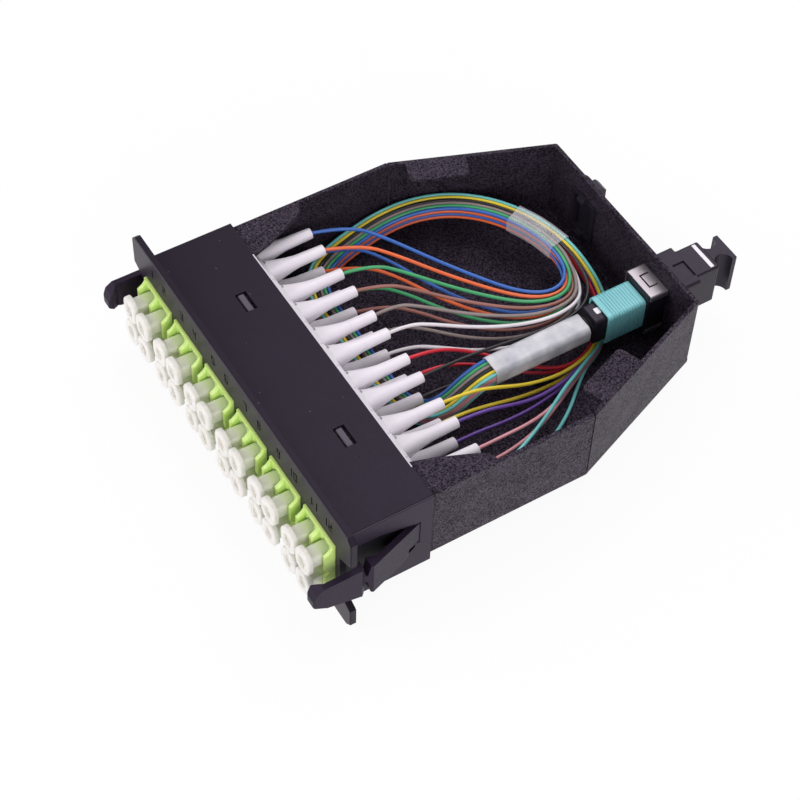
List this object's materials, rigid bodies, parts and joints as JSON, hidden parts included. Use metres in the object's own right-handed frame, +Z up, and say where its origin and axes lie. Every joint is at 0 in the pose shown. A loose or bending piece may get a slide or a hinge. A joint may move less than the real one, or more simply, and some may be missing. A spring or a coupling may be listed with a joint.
{
  "type": "fibre patch cassette",
  "caption": "Lid-off fibre cassette: black front housing with green duplex ports and dust caps, folded steel tray, colour-coded fibres looped to a rear multi-fibre connector.",
  "frame": {"origin": "on the outer face of the front flange, midway across the ports, level with the underside of the front housing", "axes": "+X runs across the ports from port 1 to port 12, +Y to the rear along the tray, +Z up, out of the open tray"},
  "size_m": [0.1004, 0.1349, 0.0336],
  "materials": {
    "housing_black": "satin moulded black",
    "tray_powder_coat": "textured black powder coat",
    "mpo_black": "moulded black",
    "clip_steel": "bright sprung steel",
    "coupling_aqua": "ribbed aqua",
    "mpo_housing": "moulded dark grey",
    "mpo_boot_black": "soft black",
    "label_film": "translucent white",
    "fanout_grey": "plain",
    "plug_beige": "moulded beige",
    "boot_white": "soft white",
    "clear_film": "clear film",
    "adapter_green": "lime green moulding",
    "cap_translucent": "translucent white",
    "fibre_blue": "tight-buffered fibre jacket, blue",
    "fibre_orange": "tight-buffered fibre jacket, orange",
    "fibre_green": "tight-buffered fibre jacket, green",
    "fibre_brown": "tight-buffered fibre jacket, brown",
    "fibre_slate": "tight-buffered fibre jacket, slate",
    "fibre_white": "tight-buffered fibre jacket, white",
    "fibre_red": "tight-buffered fibre jacket, red",
    "fibre_black": "tight-buffered fibre jacket, black",
    "fibre_yellow": "tight-buffered fibre jacket, yellow",
    "fibre_violet": "tight-buffered fibre jacket, violet",
    "fibre_rose": "tight-buffered fibre jacket, rose",
    "fibre_aqua": "tight-buffered fibre jacket, aqua"
  },
  "bodies": {
    "cassette": {"front_housing": "housing_black", "tray": "tray_powder_coat", "mpo_adapter": "mpo_black", "mpo_clip": "clip_steel", "mpo_plug": "mpo_housing", "mpo_boot": "mpo_boot_black", "mpo_dust_cap": "mpo_black", "port_blank": "mpo_black", "label_tube": "label_film", "fanout_body": "fanout_grey", "lc_plugs_upper": "plug_beige", "lc_plugs_lower": "plug_beige", "lc_boots_upper": "boot_white", "lc_boots_lower": "boot_white", "loop_sleeve": "clear_film", "lc_adapter_1": "adapter_green", "dust_caps_1": "cap_translucent", "lc_adapter_2": "adapter_green", "dust_caps_2": "cap_translucent", "lc_adapter_3": "adapter_green", "dust_caps_3": "cap_translucent", "lc_adapter_4": "adapter_green", "dust_caps_4": "cap_translucent", "lc_adapter_5": "adapter_green", "dust_caps_5": "cap_translucent", "lc_adapter_6": "adapter_green", "dust_caps_6": "cap_translucent", "fibre_upper_1": "fibre_blue", "fibre_upper_2": "fibre_orange", "fibre_upper_3": "fibre_green", "fibre_upper_4": "fibre_brown", "fibre_upper_5": "fibre_slate", "fibre_upper_6": "fibre_white", "fibre_upper_7": "fibre_red", "fibre_upper_8": "fibre_black", "fibre_upper_9": "fibre_yellow", "fibre_upper_10": "fibre_violet", "fibre_upper_11": "fibre_rose", "fibre_upper_12": "fibre_aqua", "fibre_lower_1": "fibre_blue", "fibre_lower_2": "fibre_orange", "fibre_lower_3": "fibre_green", "fibre_lower_4": "fibre_brown", "fibre_lower_5": "fibre_slate", "fibre_lower_6": "fibre_white", "fibre_lower_7": "fibre_red", "fibre_lower_8": "fibre_black", "fibre_lower_9": "fibre_yellow", "fibre_lower_10": "fibre_violet", "fibre_lower_11": "fibre_rose", "fibre_lower_12": "fibre_aqua"},
    "left_latch": {"left_latch": "housing_black"},
    "right_latch": {"right_latch": "housing_black"},
    "coupling_sleeve": {"mpo_coupling_sleeve": "coupling_aqua"}
  },
  "joints": [
    {"name": "left_latch_flex", "type": "hinge", "parent": "cassette", "child": "left_latch", "pos_m": [-0.0449, 0.0199, 0.0132], "axis": [0, 0, 1], "range_deg": [0, 6], "stiffness_Nm_per_rad": 0.5},
    {"name": "right_latch_flex", "type": "hinge", "parent": "cassette", "child": "right_latch", "pos_m": [0.0449, 0.0199, 0.0132], "axis": [0, 0, -1], "range_deg": [0, 6], "stiffness_Nm_per_rad": 0.5},
    {"name": "coupling_sleeve_slide", "type": "slide", "parent": "cassette", "child": "coupling_sleeve", "axis": [0, -1, 0], "range_m": [0, 0.0012], "stiffness_N_per_m": 1500}
  ]
}
